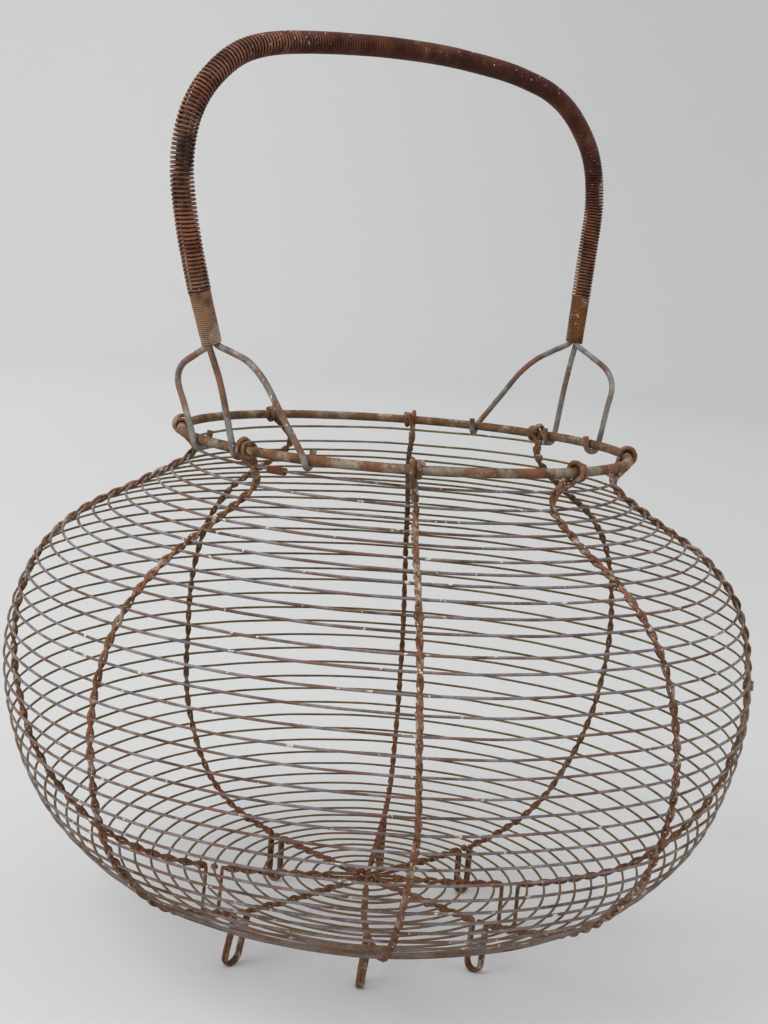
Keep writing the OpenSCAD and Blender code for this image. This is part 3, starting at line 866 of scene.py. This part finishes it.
# handle: three cores in a bundle, a wire wound round them, and a tighter binding at each end
handle = {
    "knots": [(-133.5, 322), (-144, 351), (-152.5, 380), (-156.5, 404), (-153, 427.5), (-140.5, 446.5),
              (-120, 460.5), (-87, 467.5), (-32.5, 472.5), (18, 473.5), (68.5, 470), (104.5, 460),
              (130, 437), (138.5, 409),
              (136.5, 376), (132, 327)],
    "coreWire": 3.2 * mm, "wrapWire": 1.4 * mm, "wrapSlack": 0.5 * mm,
    "binding": 27 * mm, "bindingWire": 0.95 * mm, "lap": 1.2 * mm,
    "reach": 3.0 * mm,  # the line's direction is taken over this much each way
    "lead": 8.0 * mm, "legSteps": 10, "tips": ((0.3, 2.4), (0.6, 4.5)),  # hook tips: how far in and up, in mm
    "legInward": (0.6, 0.2), "legDownward": (0.15, 0.5),
    "hookLeft": (183.5, 167, 203.5), "hookRight": (0.5, 25.5, -17.5),
    "cornerLeft": ((181.4, 30, 9.8), (160.5, 33, 10.5), (191.3, 41, 8.5)),
    "cornerRight": ((0.3, 32, 9.5), (12.7, 39.5, 8.5), (-18.5, 39, 9)),
}
core = {"steps": 160, "points": 520, "sides": 14, "wobble": 0.4 * mm, "wobbleScale": 40.0, "pitting": 0.10,
        "pitScale": 300.0}
coreR, wrapR = handle["coreWire"] / 2, handle["wrapWire"] / 2
bundleR = coreR * 2 / math.sqrt(3) + basket["clear"]
bundleOut = bundleR + coreR
handleLine = Track([Vector((p.x, 0, p.y)) * mm for p in smoothCurve(handle["knots"], 12)])
coreSide = bundleR * math.sqrt(3) / 2
corePlace = [(bundleR, 0), (-bundleR / 2, coreSide), (-bundleR / 2, -coreSide)]
hookR = hoopR + coreR + basket["clear"]


def handlePoint(s, up, back):
    along = handleLine.along(s, handle["reach"])
    return handleLine.at(s) + Vector((-along.z, 0, along.x)) * up + Vector((0, back, 0))


def coreHook(angle):
    hook = [roundHoop(angle, hookR, a) for a in range(-30, -181, -15)]
    return hook + [polar(angle, rimRadius - hookR - inward * mm, rimHeight + up * mm)
                   for inward, up in handle["tips"]]


def coreLeg(start, along, corner, hook):
    bend = polar(math.radians(corner[0]), rimRadius + corner[2] * mm, rimHeight + corner[1] * mm)
    top = polar(math.radians(hook), rimRadius + hookR, rimHeight)
    knots = [start - handle["lead"] * along, start]
    knots += [bend + share * (start - bend) for share in handle["legInward"]]
    knots += [bend + share * (top - bend) for share in handle["legDownward"]] + [top]
    return smoothCurve(knots, handle["legSteps"])[handle["legSteps"] + 1:] + coreHook(math.radians(hook))


def makeCore(index, label):
    up, back = corePlace[index]
    length = handleLine.length
    inside = [handlePoint(length * i / core["steps"], up, back) for i in range(core["steps"] + 1)]
    outLeft, outRight = (inside[0] - inside[2]).normalized(), (inside[-1] - inside[-3]).normalized()
    left = coreLeg(inside[0], outLeft, handle["cornerLeft"][index], handle["hookLeft"][index])
    right = coreLeg(inside[-1], outRight, handle["cornerRight"][index], handle["hookRight"][index])
    points = [p + rimOff for p in left[::-1] + inside + right]
    piece = runTree(plainPath(points), laidWireTree, "handleCore_" + label,
                    wireValues(core, core["points"], coreR, coreSteel))
    keepPiece(piece, "core_wire", "handle_core_" + label)


for coreIndex, coreLabel in enumerate(("middle", "back", "front")):
    makeCore(coreIndex, coreLabel)


def markCrest(piece, steps=400):  # how far each point is from the handle's middle line
    line = [handleLine.at(handleLine.length * i / steps) + rimOff for i in range(steps + 1)]
    tree = KDTree(len(line))
    for i, point in enumerate(line):
        tree.insert(point, i)
    tree.balance()
    values = []
    for vertex in piece.data.vertices:
        _, i, _ = tree.find(vertex.co)
        along = (line[min(i + 1, steps)] - line[max(i - 1, 0)]).normalized()
        away = vertex.co - line[i]
        values.append((away - along * away.dot(along)).length)
    piece.data.attributes.new("crest", "FLOAT", "POINT").data.foreach_set("value", values)


def woundPiece(name, start, end, pitchAt, swellAt, coil, wire, material, slotName, node, wobble):
    path, up, turns, swell, s, turned = [], [], [], [], start, 0.0
    step = winding["step"]
    while s <= end:
        along = handleLine.along(s, handle["reach"])
        path.append(handleLine.at(s) + rimOff)
        up.append((-along.z, 0, along.x))
        turns.append(turned)
        swell.append(swellAt(s))
        turned += step / pitchAt(s)
        s += step
    base = coilPath(path, up, [(0, 1, 0)] * len(path), turns, swell)
    values = wireValues({**winding, "wobble": wobble}, int(turns[-1] * winding["perTurn"]), wire, material)
    piece = runTree(base, woundWireTree, name, {"Coil Radius": coil, **values})
    markCrest(piece)
    keepPiece(piece, slotName, node)
    print("basket:", name, round(turns[-1]), "turns")


def between(knots, share):
    for (a, low), (b, high) in zip(knots, knots[1:]):
        if share <= b:
            return low + (high - low) * (share - a) / (b - a)
    return knots[-1][1]


winding = {  # by share of the handle's length, from its left end
    "pitch": [(0.0, 1.6), (0.06, 1.85), (0.15, 2.02), (0.27, 1.95), (0.36, 1.75), (0.48, 1.6), (0.56, 1.5),
              (0.62, 1.44), (0.74, 1.44), (0.80, 1.55), (0.86, 1.75), (0.95, 1.85), (1.0, 1.6)],
    "swell": [(0.0, 1.02), (0.05, 1.06), (0.30, 1.06), (0.42, 0.99), (0.80, 0.98), (0.90, 1.04), (1.0, 1.04)],
    "bindingSwell": [(0.0, 0.99), (0.06, 1.07), (0.94, 1.06), (1.0, 1.0)],
    "bindingPitch": 2.1, "bindingCloser": 0.1 * mm,  # in radii of its wire, and how much nearer the cores
    "step": 1.0 * mm, "perTurn": 18, "sides": 8, "wobbleScale": 45.0, "pitting": 0.22, "pitScale": 500.0,
}


def makeWinding():
    binding, length, lap = handle["binding"], handleLine.length, handle["lap"]
    coil = bundleOut + handle["wrapSlack"] + wrapR
    woundPiece("handleWinding", binding - lap, length - binding + lap,
               lambda s: between(winding["pitch"], s / length) * mm,
               lambda s: between(winding["swell"], s / length),
               coil, wrapR, windingSteel, "winding_wire", "handle_winding", 0.35 * mm)
    thin = handle["bindingWire"] / 2
    for label, start, steel in (("left", 0.0, bindingSteel), ("right", length - binding, farBindingSteel)):
        woundPiece("handleBinding_" + label, start, start + binding, lambda s: thin * winding["bindingPitch"],
                   lambda s: between(winding["bindingSwell"], s / length),
                   coil - winding["bindingCloser"], thin, steel, "binding_wire",
                   "handle_binding_" + label, 0.15 * mm)


makeWinding()
print("basket: handle made")


# studio: a pale sweep, a soft sky and one large light
studio = {
    # the wall's paler colour is painted light, making up for the light it gets less of than the floor
    "floor": (0.645, 0.645, 0.65), "wall": (0.77, 0.77, 0.77), "radius": 4.0, "curve": 2.4, "tall": 5.0,
    "shade": 0.84,  # painted shade: brightness of the paper's dim side, beside 1 on the other
    "shadeWay": (0.73, -0.68, 0), "shadeFrom": -1.2, "shadeTo": 1.5, "floorTo": 0.2, "wallFrom": 3.5,
    "roughness": 0.95, "specular": 0.1, "spokes": 64, "bend": 16,
    "sky": (0.99, 0.995, 1.0, 1), "skyPower": 0.95, "target": (0, 0, 0.2), "lightSize": 2.4,
    "window": {"place": (-2.5, 0.3, 2.5), "power": 66, "colour": (1.0, 0.995, 0.98)},
    "fill": {"place": (1.2, -2.8, 1.8), "power": 18, "colour": (1.0, 1.0, 1.0)},
}


def makeSweep():
    outline = [(0.0, 0.0), (studio["radius"], 0.0)]
    for i in range(1, studio["bend"] + 1):
        t = math.radians(90 * i / studio["bend"])
        outline.append((studio["radius"] + studio["curve"] * math.sin(t),
                        studio["curve"] * (1 - math.cos(t))))
    outline.append((studio["radius"] + studio["curve"], studio["tall"]))
    spokes, points, faces = studio["spokes"], [Vector((0, 0, 0))], []
    for r, z in outline[1:]:
        points += [polar(2 * math.pi * k / spokes, r, z) for k in range(spokes)]
    for k in range(spokes):
        faces.append((0, 1 + k, 1 + (k + 1) % spokes))
    for ring in range(len(outline) - 2):
        for k in range(spokes):
            a, b = 1 + ring * spokes + k, 1 + ring * spokes + (k + 1) % spokes
            faces.append((a, a + spokes, b + spokes, b))
    mesh = bpy.data.meshes.new("sweep")
    mesh.from_pydata(points, [], faces)
    mesh.polygons.foreach_set("use_smooth", [True] * len(mesh.polygons))
    sweep = addObject("sweep", mesh)
    material = bpy.data.materials.new("sweepPaper")
    material.use_nodes = True
    shader = material.node_tree.nodes["Principled BSDF"]
    tree = material.node_tree
    where = addNode(tree, "ShaderNodeTexCoord").outputs["Object"]
    # painted light: the paper turns paler from floor to wall
    wallPaintedLight = rangeNode(tree, vectorNode(tree, "LENGTH", where), studio["floorTo"], studio["wallFrom"])
    paper = addNode(tree, "ShaderNodeMix", {"data_type": "RGBA"}, i0=wallPaintedLight, i6=(*studio["floor"], 1),
                    i7=(*studio["wall"], 1))
    # painted shade: the paper darkens across the view, away from the window light
    across = vectorNode(tree, "DOT_PRODUCT", where, studio["shadeWay"])
    paintedFalloff = rangeNode(tree, across, studio["shadeFrom"], studio["shadeTo"], 1.0, studio["shade"])
    tree.links.new(vectorNode(tree, "SCALE", paper.outputs[2], Scale=paintedFalloff), shader.inputs["Base Color"])
    shader.inputs["Roughness"].default_value = studio["roughness"]
    shader.inputs["Specular IOR Level"].default_value = studio["specular"]
    mesh.materials.append(material)


def makeLight(name):
    lamp, data = studio[name], bpy.data.lights.new(name, "AREA")
    data.shape, data.size = "DISK", studio["lightSize"]
    data.energy, data.color = lamp["power"], lamp["colour"]
    light = addObject(name, data)
    light.location = lamp["place"]
    aim = Vector(studio["target"]) - Vector(lamp["place"])
    light.rotation_euler = aim.to_track_quat("-Z", "Y").to_euler()


def makeSky():
    world = bpy.data.worlds.new("sky")
    bpy.context.scene.world = world
    world.use_nodes = True
    background = world.node_tree.nodes["Background"]
    background.inputs["Color"].default_value = studio["sky"]
    background.inputs["Strength"].default_value = studio["skyPower"]


makeSweep()
makeLight("window")
makeLight("fill")
makeSky()
bpy.context.scene.view_settings.view_transform = "Standard"

# camera: in front and to the left, a little above the rim, with the slight roll that leans the basket
view = {
    "azimuth": -44.13, "distance": 0.8837, "height": 0.3696, "turn": 0.18, "down": 8.81, "roll": 4.26,
    "lens": 58.26,
}


def makeCamera():
    data = bpy.data.cameras.new("camera")
    data.lens = view["lens"]
    camera = addObject("camera", data)
    azimuth, heading = math.radians(view["azimuth"]), math.radians(view["azimuth"] + view["turn"])
    down, roll = math.radians(view["down"]), math.radians(view["roll"])
    away, level = view["distance"], math.cos(down)
    camera.location = (away * math.sin(azimuth), -away * math.cos(azimuth), view["height"])
    forward = Vector((-math.sin(heading) * level, math.cos(heading) * level, -math.sin(down)))
    right = Vector((math.cos(heading), math.sin(heading), 0))
    upright = right.cross(forward)
    across = right * math.cos(roll) + upright * math.sin(roll)
    upward = upright * math.cos(roll) - right * math.sin(roll)
    camera.rotation_mode = "QUATERNION"
    camera.rotation_quaternion = Matrix((across, upward, -forward)).transposed().to_quaternion()
    bpy.context.scene.camera = camera


makeCamera()
print("basket: studio and camera made")
